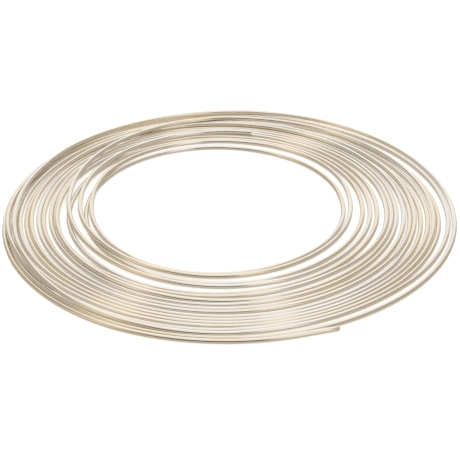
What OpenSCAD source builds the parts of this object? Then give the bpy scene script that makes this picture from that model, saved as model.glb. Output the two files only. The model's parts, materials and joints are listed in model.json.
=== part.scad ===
// Coil of soft aluminium tubing, lying flat: one continuous length of round tube wound in a single
// layer of side-by-side turns that have loosened, so that the eye sits off the coil's centre and
// turns cross each other, up to three tubes high. The wound turns are one turned ring with its bore; the
// outermost turn stops short and its last stretch is a real tube end. Units are millimetres, +Z is
// up, and the origin is the centre of the outermost turn, on the floor.

/* [Tube] */
// Outside diameter of the tube (3/16 in)
tube_od = 4.7625; // [4:0.0625:6.25]
// Wall thickness of the tube (0.035 in)
wall_t = 0.889; // [0.7:0.001:1.25]

/* [Coil] */
// Number of turns across the coil, from the eye to the rim
turns = 17; // [12:1:20]
// Diameter over the outermost turn
coil_od = 450; // [420:1:540]
// Diameter of the eye
eye_d = 252; // [200:1:280]
// How far the eye sits to the right of the coil's centre (negative: to the left)
eye_x = -10.5; // [-13:0.5:13]
// How far the eye sits behind the coil's centre (negative: in front)
eye_y = 13.5; // [-14:0.5:14]
// Height of the coil in tubes, where turns cross each other
layers = 3; // [2:1:4]

/* [Free end] */
// Length of the straight stretch that ends in the square cut
end_len = 36; // [20:1:45]
// Direction, seen from the coil's centre, in which the straight stretch begins
end_angle = -73.5; // [-90:0.5:-60]
// Angle over which the outermost turn is missing, from the straight stretch to its far side
gap_angle = 24; // [20:1:40]
// How far the straight stretch begins inside the rim, from one tube's outer side to the other
end_inset = 4.2; // [0:0.1:6]
// Clear width between the straight stretch and the side of the next turn, where it begins
end_clear = 1.2; // [1:0.1:2]
// Height of the straight stretch above the floor
end_lift = 0.1; // [0.05:0.05:0.5]

/* [Relief of the turns] */
// Width of the groove that shows between two turns on the ends of the ring
groove_w = 3.4; // [2.4:0.1:3.6]
// Width of the groove's flat floor
groove_floor = 0.2; // [0.1:0.05:0.4]

/* [Hidden] */
$fn = 180;
tube_r = tube_od / 2;
bore_r = tube_r - wall_t;
coil_r = coil_od / 2;
eye_r = eye_d / 2;
coil_h = layers * tube_od;
pitch = (coil_r - eye_r) / turns;
// A turn's side is an arc of the tube's own radius, from the groove's floor up to the face
groove_side = groove_w / 2 - groove_floor / 2;
groove_depth = sqrt(pow(tube_r, 2) - pow(tube_r - groove_side, 2));
// Distance of the free end's axis from the coil's centre, where the straight stretch begins
end_r = coil_r - tube_r - end_lift - end_inset;
// A thin spigot inside the top of the straight tube's wall runs on into the ring and joins the two
root_r = wall_t / 3;
root_rise = tube_r - wall_t / 2;
root_len = 3;
// How far cutting shapes run past the faces that they cut
over = 1;

// Centre of the groove outside turn k: the inner turns follow the eye, the outermost is centred
function turn_centre(k) = [eye_x, eye_y, 0] * (1 - k / (turns - 1));

// Radius of the groove outside turn k
function turn_radius(k) = eye_r + k * pitch;

// One arc-sided half of a groove, from its floor's middle out to the turn's top
module groove_half() {
    difference() {
        square([groove_w / 2, groove_depth + over]);
        translate([groove_floor / 2 + tube_r, 0])
            circle(tube_r);
    }
}

// Groove between two neighbouring turns, cut down into a face that lies at z = 0
module turn_groove(radius) {
    rotate_extrude()
        translate([radius, -groove_depth]) {
            groove_half();
            mirror([1, 0])
                groove_half();
        }
}

// Grooves of all the turns, in a face that lies at z = 0
module face_grooves() {
    for (k = [1 : turns - 1])
        translate(turn_centre(k))
            turn_groove(turn_radius(k));
}

// Solid disc under the turns, its rim as many rounds high as turns cross there
module disc() {
    rotate_extrude() {
        square([coil_r - tube_r, coil_h]);
        for (layer = [0 : layers - 1])
            translate([coil_r - tube_r, tube_r + layer * tube_od])
                circle(tube_r);
    }
}

// The eye: a plain bore whose two edges are rounded like the innermost turn's
module eye() {
    translate(turn_centre(0))
        rotate_extrude() {
            translate([0, -over])
                square([eye_r, coil_h + 2 * over]);
            translate([eye_r - groove_floor / 2, coil_h - groove_depth])
                groove_half();
            translate([eye_r - groove_floor / 2, groove_depth])
                mirror([0, 1])
                    groove_half();
        }
}

// Room where the outermost turn is missing beside and beyond the free end
module end_gap() {
    rotate([0, 0, end_angle])
        rotate_extrude(angle = gap_angle)
            translate([end_r - tube_r - end_clear, -over])
                square([coil_r + over - (end_r - tube_r - end_clear), coil_h + 2 * over]);
}

// Round bar along the free end, starting some way behind the ring's face and some way above the axis
module end_bar(radius, length, behind = 0, above = 0) {
    rotate([0, 0, end_angle])
        translate([end_r, -behind, tube_r + end_lift + above])
            rotate([-90, 0, 0])
                cylinder(r = radius, h = length);
}

module tubing_coil() {
    color([0.86, 0.82, 0.77])
        difference() {
            union() {
                difference() {
                    disc();
                    eye();
                    end_gap();
                    translate([0, 0, coil_h])
                        face_grooves();
                    mirror([0, 0, 1])
                        face_grooves();
                }
                end_bar(tube_r, end_len);
                end_bar(root_r, 2 * root_len, root_len, root_rise);
            }
            end_bar(bore_r, end_len + over);
        }
}

tubing_coil();
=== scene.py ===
"""Coil of aluminum tubing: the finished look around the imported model.

One length of drawn tube lies in a loose coil. It was wound in two layers: the first runs from the
eye out to the rim, the tube then falls back in across it, and the second layer runs out again to
the free end. The turns have sprung open since, so they lie side by side in pairs, drift apart and
cross. Lengths are in metres. The winding is planned in pitches, each a little over one tube wide.
"""

import json
import math

import bmesh
import bpy
import numpy as np
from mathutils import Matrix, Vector


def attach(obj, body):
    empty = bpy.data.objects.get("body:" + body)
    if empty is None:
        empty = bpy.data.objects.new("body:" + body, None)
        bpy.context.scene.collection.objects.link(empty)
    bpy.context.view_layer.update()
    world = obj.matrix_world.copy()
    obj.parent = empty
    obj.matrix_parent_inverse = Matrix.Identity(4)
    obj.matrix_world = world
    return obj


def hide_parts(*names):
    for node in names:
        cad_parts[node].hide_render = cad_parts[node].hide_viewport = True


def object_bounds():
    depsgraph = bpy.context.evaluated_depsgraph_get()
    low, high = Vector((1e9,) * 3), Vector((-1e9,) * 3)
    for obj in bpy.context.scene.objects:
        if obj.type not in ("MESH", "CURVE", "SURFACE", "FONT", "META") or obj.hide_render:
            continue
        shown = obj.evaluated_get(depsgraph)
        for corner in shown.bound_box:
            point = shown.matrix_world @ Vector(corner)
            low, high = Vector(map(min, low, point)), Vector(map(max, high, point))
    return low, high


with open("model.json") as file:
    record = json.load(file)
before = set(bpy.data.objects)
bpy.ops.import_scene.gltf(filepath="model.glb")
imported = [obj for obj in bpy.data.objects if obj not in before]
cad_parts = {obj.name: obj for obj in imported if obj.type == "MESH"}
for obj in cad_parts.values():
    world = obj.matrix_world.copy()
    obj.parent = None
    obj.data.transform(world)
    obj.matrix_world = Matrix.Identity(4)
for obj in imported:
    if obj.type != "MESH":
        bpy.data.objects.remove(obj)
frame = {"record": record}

bl_info = {
    "name": "Coil of Aluminum Tubing",
    "version": (1, 0, 0),
    "blender": (4, 5, 0),
    "location": "3D View > Sidebar > Tubing",
    "description": "Builds a loose coil of drawn aluminum tubing and the stage it lies on",
    "category": "Add Mesh",
}

CAD_BOX = [list(corner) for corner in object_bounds()]
COIL_RADIUS = (CAD_BOX[1][0] - CAD_BOX[0][0]) / 2
MOUNTS = {mount["name"]: mount for mount in frame["record"]["mounts"]}

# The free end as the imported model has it: its radius, straight length, way out and two ends
FREE_END = MOUNTS["tube_end"]
TUBE_RADIUS = FREE_END["dims"]["r_mm"] / 1000
END_LENGTH = FREE_END["dims"]["length_mm"] / 1000
END_AXIS = Vector(FREE_END["axis"])
END_TIP = Vector(FREE_END["pos_m"])
END_ROOT = END_TIP - END_AXIS * END_LENGTH

# The rim's turn runs this many pitches from the coil's centre.
RIM_TURN = 38.03
PITCH = (COIL_RADIUS - TUBE_RADIUS) / RIM_TURN
ROOT_RADIUS = math.hypot(END_ROOT.x, END_ROOT.y) / PITCH

# A turn is planned at this many places, the first of them at this angle in degrees: the right front.
PLACES = 6
FIRST_PLACE = -60.0

# Radius of each turn in pitches at those places, counterclockwise; one row a turn, in the order in
# which the tube runs from its inner end.
TURN_RADII = (
    (25.0, 26.3, 29.2, 29.1, 25.3, 21.3),
    (19.3, 20.8, 25.6, 26.6, 23.4, 20.5),
    (18.3, 19.6, 23.0, 25.3, 24.3, 22.7),
    (21.4, 22.9, 26.5, 28.2, 27.2, 25.8),
    (24.1, 25.4, 28.7, 31.3, 29.5, 26.6),
    (25.0, 27.2, 29.7, 32.1, 30.3, 28.4),
    (27.6, 28.6, 31.4, 33.0, 32.3, 30.5),
    (29.6, 31.0, 32.5, 34.0, 34.3, 32.4),
    (31.9, 32.7, 33.5, 34.8, 36.2, 34.2),
    (33.3, 34.9, 34.9, 32.5, 27.2, 23.7),
    (22.7, 24.2, 27.4, 29.6, 29.2, 28.1),
    (26.5, 27.8, 30.8, 32.5, 31.5, 29.7),
    (28.5, 29.9, 31.9, 33.5, 33.5, 31.6),
    (30.9, 31.6, 33.0, 34.4, 35.4, 33.4),
    (32.4, 33.9, 34.4, 35.6, 37.4, 35.4),
    (34.1, 35.7, 35.3, 36.4, 37.0, 36.9),
    (36.7, 38.4, 38.9, 36.8, 36.2, 36.5),
    (35.1, 37.4, 37.9, 38.1, 37.8, 38.1),
)
# How high each turn is laid down before it settles: a turn that crosses another has a higher number.
TURN_LAYERS = (2, 1, 0, 0, 0, 0, 0, 0, 1, 3, 1, 1, 1, 1, 1, 0, 1, 0)
# Height in tube diameters that each layer adds when the turns are laid down
LAYER_STEP = 1.3

# The inner end lies at this angle in degrees, at the back, on top of the turns beside it.
INNER_END = 80.0

# Turns nearer than this many diameters draw together at the front, by this share of their gap.
PAIR_REACH = 1.25
PAIR_PULL = 0.25

# Settling: its rounds, the last ones in which the turns no longer sink, and the very last ones in
# which they only push each other apart
SETTLE_ROUNDS = 900
STILL_ROUNDS = 100
PUSH_ROUNDS = 20
PUSHES_A_ROUND = 2
# Pitches that a turn sinks in a round, and the share of the way back to its planned radius
SINK = 0.012
HOMING = 0.05
# The tube is stiff: each ring follows the rings this far before and after it, by these shares.
STIFF_REACHES = (1, 2, 4)
STIFF_HEIGHT = 0.30
STIFF_RADIUS = 0.15

# Over this many degrees the last turn runs onto the line of the straight free end.
END_RUN = 50.0

# Die lines: how many lengths of line fit along the whole tube, and how fine they are around it
LINE_LENGTHS = 120
LINE_RINGS = 5

# Patterns of the surface: scale and detail of each noise, and the values where it begins and is full
LINE_NOISE = (1, 3)
LINE_RANGE = (0.5, 0.75)
STAIN_NOISE = (0.45, 3)
STAIN_RANGE = (0.4, 0.62)
SCUFF_NOISE = (210, 5)
SCUFF_RANGE = (0.6, 0.74)
GRAIN_NOISE = (2600, 2)
DENT_NOISE = (75, 1)
# How much of their colour the lines and the scuffs lay over the metal
LINE_COVER = 0.5
SCUFF_COVER = 0.5
# Roughness that each pattern adds, and how far clean metal lies under the set roughness
STAIN_ROUGHNESS = 0.06
SCUFF_ROUGHNESS = 0.2
GRAIN_ROUGHNESS = 0.06
CLEAN_ROUGHNESS = 0.05
# Height of each pattern in metres
DENT_HEIGHT = 0.00002
LINE_HEIGHT = 0.000002
GRAIN_HEIGHT = 0.0000004

# A cut edge is broken by this share of the wall, where the faces meet at more than this angle.
EDGE_SHARE = 0.2
EDGE_ANGLE = 60

# The camera's sensor in millimetres, how far its picture is shifted, and how near it sees in metres
SENSOR_WIDTH = 36
SHIFT_X = 0.0034
SHIFT_Y = -0.0315
CLIP_START = 0.05

# The floor reaches this far each way, so that its edge stays out of a low view.
FLOOR_REACH = 40

# Zones of the light, in degrees around the coil: where each one starts, is full, and ends again
BACKDROP_ZONE = (46, 60, 120, 134)
CORNER_ZONE = (-172, -162, -146, -140)
WINDOW_ZONE = (-70, -58, -50, -40)
ROOM_ZONE = (-142, -108, -73, -67)
# Edges of the light, as the height of its direction: 0 at the horizon, 1 overhead. The first value
# is where a zone has faded out and the second where it is full.
WALL_TOP = (0.9, 0.75)
BACKDROP_TOP = (0.64, 0.52)
ROOM_TOP = (0.72, 0.58)
SOFTBOX_FOOT = (0.56, 0.66)
SOFTBOX_TOP = (0.96, 0.86)
# How far to the side a direction turns before the walls begin, and where they are full
WALL_SIDE = (0.2, 0.5)


class TubingSettings(bpy.types.PropertyGroup):
    """Sizes and colour of the tube"""

    outside_diameter: bpy.props.FloatProperty(
        name="Outside Diameter", description="Outside diameter of the tube",
        default=2 * TUBE_RADIUS, min=0.001, max=0.02, unit="LENGTH")
    wall: bpy.props.FloatProperty(
        name="Wall", description="Thickness of the tube's wall",
        default=0.000889, min=0.0003, max=0.002, unit="LENGTH")
    rings: bpy.props.IntProperty(
        name="Rings", description="Rings of the mesh in one turn of the coil",
        default=150, min=60, max=360)
    sides: bpy.props.IntProperty(
        name="Sides", description="Sides of the tube's round section",
        default=16, min=8, max=32)
    metal_color: bpy.props.FloatVectorProperty(
        name="Metal", description="Colour of the bare aluminum",
        default=(0.92, 0.885, 0.835), size=3, min=0, max=1, subtype="COLOR")
    stain_color: bpy.props.FloatVectorProperty(
        name="Stain", description="Colour where old drawing oil has yellowed the aluminum",
        default=(0.91, 0.83, 0.69), size=3, min=0, max=1, subtype="COLOR")
    line_color: bpy.props.FloatVectorProperty(
        name="Line", description="Colour of the lines that the drawing die left",
        default=(0.78, 0.74, 0.68), size=3, min=0, max=1, subtype="COLOR")
    scuff_color: bpy.props.FloatVectorProperty(
        name="Scuff", description="Colour where turns have rubbed on each other",
        default=(0.8, 0.79, 0.77), size=3, min=0, max=1, subtype="COLOR")
    roughness: bpy.props.FloatProperty(
        name="Roughness", description="How far the drawn surface blurs what it mirrors",
        default=0.11, min=0, max=1, subtype="FACTOR")


class StageSettings(bpy.types.PropertyGroup):
    """Camera, floor and light"""

    distance: bpy.props.FloatProperty(
        name="Distance", description="Distance of the camera from the coil's centre",
        default=5.937 * COIL_RADIUS, min=0.3, max=5, unit="LENGTH")
    elevation: bpy.props.FloatProperty(
        name="Elevation", description="Angle of the camera above the floor",
        default=math.radians(30.27), min=0, max=math.pi / 2, subtype="ANGLE")
    lens: bpy.props.FloatProperty(
        name="Lens", description="Focal length of the camera",
        default=104.4, min=20, max=300, unit="CAMERA")
    top_color: bpy.props.FloatVectorProperty(
        name="Top", description="Colour of the soft light overhead",
        default=(0.92, 0.9, 0.87), size=3, min=0, max=2, subtype="COLOR")
    backdrop_color: bpy.props.FloatVectorProperty(
        name="Backdrop", description="Colour of the lit backdrop behind the coil",
        default=(0.96, 0.935, 0.915), size=3, min=0, max=2, subtype="COLOR")
    softbox_color: bpy.props.FloatVectorProperty(
        name="Softbox", description="Colour of the wide lamp high above the backdrop",
        default=(1.15, 1.125, 1.1), size=3, min=0, max=2, subtype="COLOR")
    wall_color: bpy.props.FloatVectorProperty(
        name="Walls", description="Colour of the studio's walls, left and right",
        default=(0.45, 0.415, 0.37), size=3, min=0, max=2, subtype="COLOR")
    corner_color: bpy.props.FloatVectorProperty(
        name="Corner", description="Colour of the studio's front left corner",
        default=(0.81, 0.71, 0.56), size=3, min=0, max=2, subtype="COLOR")
    room_color: bpy.props.FloatVectorProperty(
        name="Room", description="Colour of the unlit room behind the camera",
        default=(0.065, 0.055, 0.045), size=3, min=0, max=2, subtype="COLOR")
    floor_color: bpy.props.FloatVectorProperty(
        name="Floor", description="Colour of the floor",
        default=(0.9, 0.9, 0.9), size=3, min=0, max=1, subtype="COLOR")
    floor_glow: bpy.props.FloatProperty(
        name="Floor Glow", description="Light added to the floor so that it shows white",
        default=0.6, min=0, max=1)
    # Painted shade: the dark warm floor colour that only the metal mirrors, which darkens the tubes' lower
    # sides
    mirrored_floor_shade: bpy.props.FloatVectorProperty(
        name="Mirrored Floor", description="Colour of the floor where the metal mirrors it",
        default=(0.1, 0.07, 0.04), size=3, min=0, max=1, subtype="COLOR")
    # Warm tint of the floor's added light where the metal mirrors it, part of the painted shade in the
    # reflections
    glow_color: bpy.props.FloatVectorProperty(
        name="Mirrored Glow", description="Colour of the floor's added light where the metal mirrors it",
        default=(0.88, 0.82, 0.73), size=3, min=0, max=1, subtype="COLOR")


def through_places(values, at):
    """Smooth curve through evenly spaced values, read at the given places."""
    ends = np.concatenate([[2 * values[0] - values[1]], values, [2 * values[-1] - values[-2]]])
    index = np.clip(np.floor(at).astype(int), 0, len(values) - 2)
    u = at - index
    a, b, c, d = (ends[index + k] for k in range(4))
    return 0.5 * (2 * b + (c - a) * u + (2 * a - 5 * b + 4 * c - d) * u**2 + (3 * b - a - 3 * c + d) * u**3)


def plan_turns(rings):
    """Angle, planned radius and laying height of every ring, up to the root of the free end."""
    radii = np.append(np.array(TURN_RADII).ravel(), ROOT_RADIUS)
    layers = np.append(np.repeat(np.array(TURN_LAYERS, float), PLACES), 0)
    step = 360.0 / rings
    place_step = 360.0 / PLACES
    last = 360.0 * len(TURN_RADII) + math.degrees(math.atan2(END_ROOT.y, END_ROOT.x))
    angles = np.arange(math.ceil(INNER_END / step), math.floor(last / step) + 1) * step
    at = (angles - FIRST_PLACE) / place_step
    return np.radians(angles), through_places(radii, at), through_places(layers, at)


def follow_neighbours(offsets, reach, share):
    """Each ring moves towards the mean of the rings that far before and after it."""
    mean = offsets.copy()
    mean[reach:-reach] = 0.5 * (offsets[: -2 * reach] + offsets[2 * reach :])
    return share * (mean - offsets)


def settle(angles, planned, layers, rings, thick):
    """Lets the turns sink and push each other aside until none cuts into another.

    At the front, turns that all but touch draw together in pairs.
    """
    radius = planned.copy()
    near_front = np.clip(-np.sin(angles), 0, 1) ** 2
    height = thick / 2 + LAYER_STEP * thick * np.clip(layers, 0, None)
    for left in range(SETTLE_ROUNDS, 0, -1):
        pull = PAIR_PULL if left > PUSH_ROUNDS else 0
        if left > STILL_ROUNDS:
            height -= SINK
        if left > PUSH_ROUNDS:
            for reach in STIFF_REACHES:
                height += follow_neighbours(height, reach, STIFF_HEIGHT)
                radius += follow_neighbours(radius - planned, reach, STIFF_RADIUS)
            radius += HOMING * (planned - radius)
        for _ in range(PUSHES_A_ROUND):
            out, up, touching = np.zeros_like(radius), np.zeros_like(radius), np.zeros_like(radius)
            for turn in range(rings, len(radius), rings):
                across = radius[turn:] - radius[:-turn]
                above = height[turn:] - height[:-turn]
                apart = np.hypot(across, above) + 1e-9
                push = 0.5 * np.clip(thick - apart, 0, None)
                paired = (apart > thick) & (apart < PAIR_REACH * thick)
                push -= pull * near_front[turn:] * paired * (apart - thick)
                for part, sign in ((slice(None, -turn), -1), (slice(turn, None), 1)):
                    out[part] += sign * push * across / apart
                    up[part] += sign * push * above / apart
                    touching[part] += push != 0
            radius += out / np.maximum(touching, 1)
            height += up / np.maximum(touching, 1)
            height = np.maximum(height, thick / 2)
    return radius, height


def tube_route(settings):
    """Middle line of the whole tube, in metres, with the straight free end last."""
    angles, planned, layers = plan_turns(settings.rings)
    thick = settings.outside_diameter / PITCH
    radius, height = settle(angles, planned, layers, settings.rings, thick)
    run = np.clip(1 - (angles[-1] - angles) / math.radians(END_RUN), 0, 1)
    share = run**2 * (3 - 2 * run)
    radius += share * (ROOT_RADIUS - radius)
    height += share * (END_ROOT.z / PITCH - height)
    wound = np.stack([radius * np.cos(angles), radius * np.sin(angles), height], 1) * PITCH
    straight = [END_ROOT.lerp(END_TIP, share) for share in (0, 0.25, 0.5, 0.75, 1)]
    return np.vstack([wound, np.array(straight)])


class TUBING_OT_coil(bpy.types.Operator):
    """Make the coiled tube in place of the plain turned ring"""

    bl_idname = "tubing.coil"
    bl_label = "Coiled Tube"

    def execute(self, context):
        settings = context.scene.tubing
        tube = swept_tube(context, "coiled_tube", tube_route(settings), settings)
        tube.data.materials.append(aluminum(settings))
        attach(tube, "root")
        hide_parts("tubing_coil")
        return {"FINISHED"}


def swept_tube(context, name, points, settings):
    """Mesh of a round tube along the points, hollow and open at both ends."""
    curve = bpy.data.curves.new(name, "CURVE")
    curve.dimensions = "3D"
    curve.twist_mode = "Z_UP"
    curve.bevel_depth = settings.outside_diameter / 2
    curve.bevel_resolution = settings.sides // 2 - 2
    curve.resolution_u = 1
    spline = curve.splines.new("POLY")
    spline.points.add(len(points) - 1)
    spline.points.foreach_set("co", np.hstack([points, np.ones((len(points), 1))]).ravel())
    maker = bpy.data.objects.new(name, curve)
    context.scene.collection.objects.link(maker)
    context.view_layer.update()
    mesh = bpy.data.meshes.new_from_object(maker.evaluated_get(context.evaluated_depsgraph_get()))
    bpy.data.objects.remove(maker)
    tube = bpy.data.objects.new(name, mesh)
    context.scene.collection.objects.link(tube)
    mesh.materials.clear()
    mesh.shade_smooth()
    wall = tube.modifiers.new("wall", "SOLIDIFY")
    wall.thickness = settings.wall
    wall.offset = -1
    edge = tube.modifiers.new("cut_edges", "BEVEL")
    edge.width = settings.wall * EDGE_SHARE
    edge.segments = 2
    edge.limit_method = "ANGLE"
    edge.angle_limit = math.radians(EDGE_ANGLE)
    return tube


def feed(tree, socket, value):
    """Gives a socket another node's output, a colour or a plain number."""
    if isinstance(value, bpy.types.NodeSocket):
        tree.links.new(value, socket)
    elif socket.type == "RGBA":
        socket.default_value = (*value, 1)
    else:
        socket.default_value = value


def calculate(tree, operation, *values):
    node = tree.nodes.new("ShaderNodeMath")
    node.operation = operation
    for socket, value in zip(node.inputs, values):
        feed(tree, socket, value)
    return node.outputs[0]


def ramp(tree, value, low, high):
    """Rises smoothly from 0 to 1 while the value goes from low to high."""
    node = tree.nodes.new("ShaderNodeMapRange")
    node.interpolation_type = "SMOOTHSTEP"
    feed(tree, node.inputs["Value"], value)
    node.inputs["From Min"].default_value = low
    node.inputs["From Max"].default_value = high
    return node.outputs["Result"]


def mix(tree, share, first, second):
    node = tree.nodes.new("ShaderNodeMix")
    node.data_type = "RGBA"
    feed(tree, node.inputs["Factor"], share)
    feed(tree, node.inputs[6], first)
    feed(tree, node.inputs[7], second)
    return node.outputs[2]


def noise(tree, place, scale, detail):
    node = tree.nodes.new("ShaderNodeTexNoise")
    feed(tree, node.inputs["Vector"], place)
    node.inputs["Scale"].default_value = scale
    node.inputs["Detail"].default_value = detail
    return node.outputs["Fac"]


def drawn_surface(settings):
    """Node group with the colour, roughness and height of a wall that was drawn through a die."""
    tree = bpy.data.node_groups.new("drawn_surface", "ShaderNodeTree")
    for name, kind in (("Color", "Color"), ("Roughness", "Float"), ("Height", "Float")):
        tree.interface.new_socket(name, in_out="OUTPUT", socket_type="NodeSocket" + kind)
    out = tree.nodes.new("NodeGroupOutput")
    place = tree.nodes.new("ShaderNodeTexCoord")

    # Die lines run along the tube, so this pattern changes fast around it and slowly along it.
    unwrapped = tree.nodes.new("ShaderNodeSeparateXYZ")
    feed(tree, unwrapped.inputs[0], place.outputs["UV"])
    angle = calculate(tree, "MULTIPLY", unwrapped.outputs["Y"], 2 * math.pi)
    around = tree.nodes.new("ShaderNodeCombineXYZ")
    along = calculate(tree, "MULTIPLY", unwrapped.outputs["X"], LINE_LENGTHS)
    feed(tree, around.inputs["X"], along)
    for axis, wave in (("Y", "COSINE"), ("Z", "SINE")):
        side = calculate(tree, wave, angle)
        feed(tree, around.inputs[axis], calculate(tree, "MULTIPLY", side, LINE_RINGS))
    lines = noise(tree, around.outputs[0], *LINE_NOISE)

    # Stains change along the tube, so neighbouring turns differ.
    track = tree.nodes.new("ShaderNodeCombineXYZ")
    feed(tree, track.inputs["X"], along)
    stain = ramp(tree, noise(tree, track.outputs[0], *STAIN_NOISE), *STAIN_RANGE)
    here = place.outputs["Object"]
    scuff = ramp(tree, noise(tree, here, *SCUFF_NOISE), *SCUFF_RANGE)
    grain = noise(tree, here, *GRAIN_NOISE)
    dent = noise(tree, here, *DENT_NOISE)

    lined = calculate(tree, "MULTIPLY", ramp(tree, lines, *LINE_RANGE), LINE_COVER)
    scuffed = calculate(tree, "MULTIPLY", scuff, SCUFF_COVER)
    color = mix(tree, stain, settings.metal_color, settings.stain_color)
    color = mix(tree, lined, color, settings.line_color)
    feed(tree, out.inputs["Color"], mix(tree, scuffed, color, settings.scuff_color))

    clean = settings.roughness - CLEAN_ROUGHNESS
    rough = calculate(tree, "MULTIPLY_ADD", stain, STAIN_ROUGHNESS, clean)
    rough = calculate(tree, "MULTIPLY_ADD", scuff, SCUFF_ROUGHNESS, rough)
    rough = calculate(tree, "MULTIPLY_ADD", grain, GRAIN_ROUGHNESS, rough)
    feed(tree, out.inputs["Roughness"], rough)

    height = calculate(tree, "MULTIPLY", dent, DENT_HEIGHT)
    height = calculate(tree, "MULTIPLY_ADD", lines, LINE_HEIGHT, height)
    height = calculate(tree, "MULTIPLY_ADD", grain, GRAIN_HEIGHT, height)
    feed(tree, out.inputs["Height"], height)
    return tree


def aluminum(settings):
    """Bare drawn aluminum: bright, faintly yellowed in places, with die lines, dents and scuffs."""
    material = bpy.data.materials.new("drawn_aluminum")
    material.use_nodes = True
    tree = material.node_tree
    shader = tree.nodes["Principled BSDF"]
    shader.inputs["Metallic"].default_value = 1
    surface = tree.nodes.new("ShaderNodeGroup")
    surface.node_tree = drawn_surface(settings)
    bump = tree.nodes.new("ShaderNodeBump")
    bump.inputs["Distance"].default_value = 1
    feed(tree, bump.inputs["Height"], surface.outputs["Height"])
    feed(tree, shader.inputs["Base Color"], surface.outputs["Color"])
    feed(tree, shader.inputs["Roughness"], surface.outputs["Roughness"])
    feed(tree, shader.inputs["Normal"], bump.outputs["Normal"])
    return material


class TUBING_OT_stage(bpy.types.Operator):
    """Make the floor, the light and the camera"""

    bl_idname = "tubing.stage"
    bl_label = "Stage"

    def execute(self, context):
        settings = context.scene.tubing_stage
        make_camera(context, settings)
        make_floor(context, settings)
        make_light(context, settings)
        context.scene.view_settings.view_transform = "Standard"
        return {"FINISHED"}


def make_camera(context, settings):
    data = bpy.data.cameras.new("camera")
    data.lens = settings.lens
    data.sensor_width = SENSOR_WIDTH
    data.shift_x = SHIFT_X
    data.shift_y = SHIFT_Y
    data.clip_start = CLIP_START
    camera = bpy.data.objects.new("camera", data)
    camera.location = (0, -settings.distance * math.cos(settings.elevation),
                       settings.distance * math.sin(settings.elevation))
    camera.rotation_euler = (math.pi / 2 - settings.elevation, 0, 0)
    context.scene.collection.objects.link(camera)
    context.scene.camera = camera


def make_floor(context, settings):
    """White floor that keeps the coil's soft shadow; where the metal mirrors it, it is painted dark and warm
    as painted shade.
    """
    mesh = bpy.data.meshes.new("floor")
    shape = bmesh.new()
    bmesh.ops.create_grid(shape, x_segments=1, y_segments=1, size=FLOOR_REACH)
    shape.to_mesh(mesh)
    shape.free()
    floor = bpy.data.objects.new("floor", mesh)
    context.scene.collection.objects.link(floor)
    material = bpy.data.materials.new("white_floor")
    material.use_nodes = True
    tree = material.node_tree
    tree.nodes.clear()
    path = tree.nodes.new("ShaderNodeLightPath")
    mirrored = calculate(tree, "MAXIMUM", path.outputs["Is Glossy Ray"], path.outputs["Is Transmission Ray"])
    seen = calculate(tree, "MAXIMUM", path.outputs["Is Camera Ray"], mirrored)
    paint = tree.nodes.new("ShaderNodeBsdfDiffuse")
    # Painted shade: what the metal mirrors of the floor is dark and warm, while the camera sees the floor
    # white
    feed(tree, paint.inputs["Color"], mix(tree, mirrored, settings.floor_color, settings.mirrored_floor_shade))
    glow = tree.nodes.new("ShaderNodeEmission")
    feed(tree, glow.inputs["Color"], mix(tree, mirrored, (1, 1, 1), settings.glow_color))
    feed(tree, glow.inputs["Strength"], calculate(tree, "MULTIPLY", seen, settings.floor_glow))
    both = tree.nodes.new("ShaderNodeAddShader")
    feed(tree, both.inputs[0], paint.outputs[0])
    feed(tree, both.inputs[1], glow.outputs[0])
    feed(tree, tree.nodes.new("ShaderNodeOutputMaterial").inputs["Surface"], both.outputs[0])
    mesh.materials.append(material)


def angle_band(tree, value, low_from, low_to, high_from, high_to):
    """1 between the two inner angles, falling off smoothly to 0 at the outer ones, in degrees."""
    rise = ramp(tree, value, math.radians(low_from), math.radians(low_to))
    fall = ramp(tree, value, math.radians(high_to), math.radians(high_from))
    return calculate(tree, "MULTIPLY", rise, fall)


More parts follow.
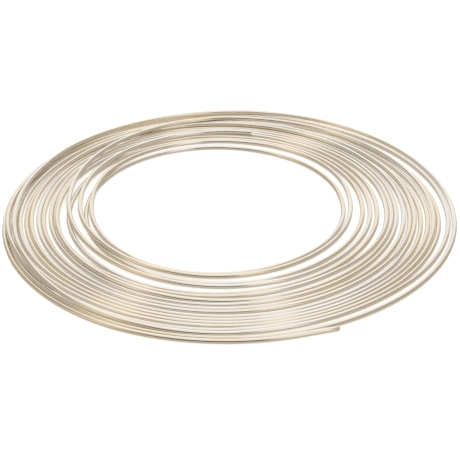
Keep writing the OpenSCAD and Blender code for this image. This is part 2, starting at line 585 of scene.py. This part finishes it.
def make_light(context, settings):
    """Soft studio light from all round: bright overhead and behind, dim at the sides, unlit in front.

    Each zone is laid over the ones before it.
    """
    world = bpy.data.worlds.new("studio")
    context.scene.world = world
    world.use_nodes = True
    tree = world.node_tree
    way = tree.nodes.new("ShaderNodeSeparateXYZ")
    feed(tree, way.inputs[0], tree.nodes.new("ShaderNodeTexCoord").outputs["Generated"])
    up = way.outputs["Z"]
    around = calculate(tree, "ARCTAN2", way.outputs["Y"], way.outputs["X"])
    aside = ramp(tree, calculate(tree, "ABSOLUTE", way.outputs["X"]), *WALL_SIDE)
    walls = calculate(tree, "MULTIPLY", aside, ramp(tree, up, *WALL_TOP))
    corner = angle_band(tree, around, *CORNER_ZONE)
    window = angle_band(tree, around, *WINDOW_ZONE)
    behind = angle_band(tree, around, *BACKDROP_ZONE)
    backdrop = calculate(tree, "MULTIPLY", behind, ramp(tree, up, *BACKDROP_TOP))
    lamp = calculate(tree, "MULTIPLY", ramp(tree, up, *SOFTBOX_FOOT), ramp(tree, up, *SOFTBOX_TOP))
    softbox = calculate(tree, "MULTIPLY", behind, lamp)
    front = angle_band(tree, around, *ROOM_ZONE)
    room = calculate(tree, "MULTIPLY", front, ramp(tree, up, *ROOM_TOP))
    studio = mix(tree, walls, settings.top_color, settings.wall_color)
    studio = mix(tree, corner, studio, settings.corner_color)
    studio = mix(tree, window, studio, settings.top_color)
    studio = mix(tree, backdrop, studio, settings.backdrop_color)
    studio = mix(tree, softbox, studio, settings.softbox_color)
    studio = mix(tree, room, studio, settings.room_color)
    feed(tree, tree.nodes["Background"].inputs["Color"], studio)
    tree.nodes["Background"].inputs["Strength"].default_value = 1


class TUBING_PT_panel(bpy.types.Panel):
    """The pieces of the coil, in the sidebar"""

    bl_label = "Tubing"
    bl_idname = "TUBING_PT_panel"
    bl_space_type = "VIEW_3D"
    bl_region_type = "UI"
    bl_category = "Tubing"

    def draw(self, context):
        groups = (
            (context.scene.tubing, TubingSettings),
            (context.scene.tubing_stage, StageSettings),
        )
        for settings, kind in groups:
            for name in kind.__annotations__:
                self.layout.prop(settings, name)
        self.layout.operator("tubing.coil")
        self.layout.operator("tubing.stage")


CLASSES = (TubingSettings, StageSettings, TUBING_OT_coil, TUBING_OT_stage, TUBING_PT_panel)


def register():
    for item in CLASSES:
        bpy.utils.register_class(item)
    bpy.types.Scene.tubing = bpy.props.PointerProperty(type=TubingSettings)
    bpy.types.Scene.tubing_stage = bpy.props.PointerProperty(type=StageSettings)


def unregister():
    del bpy.types.Scene.tubing_stage
    del bpy.types.Scene.tubing
    for item in reversed(CLASSES):
        bpy.utils.unregister_class(item)


def main():
    register()
    bpy.ops.tubing.stage()
    bpy.ops.tubing.coil()


if __name__ == "__main__":
    main()
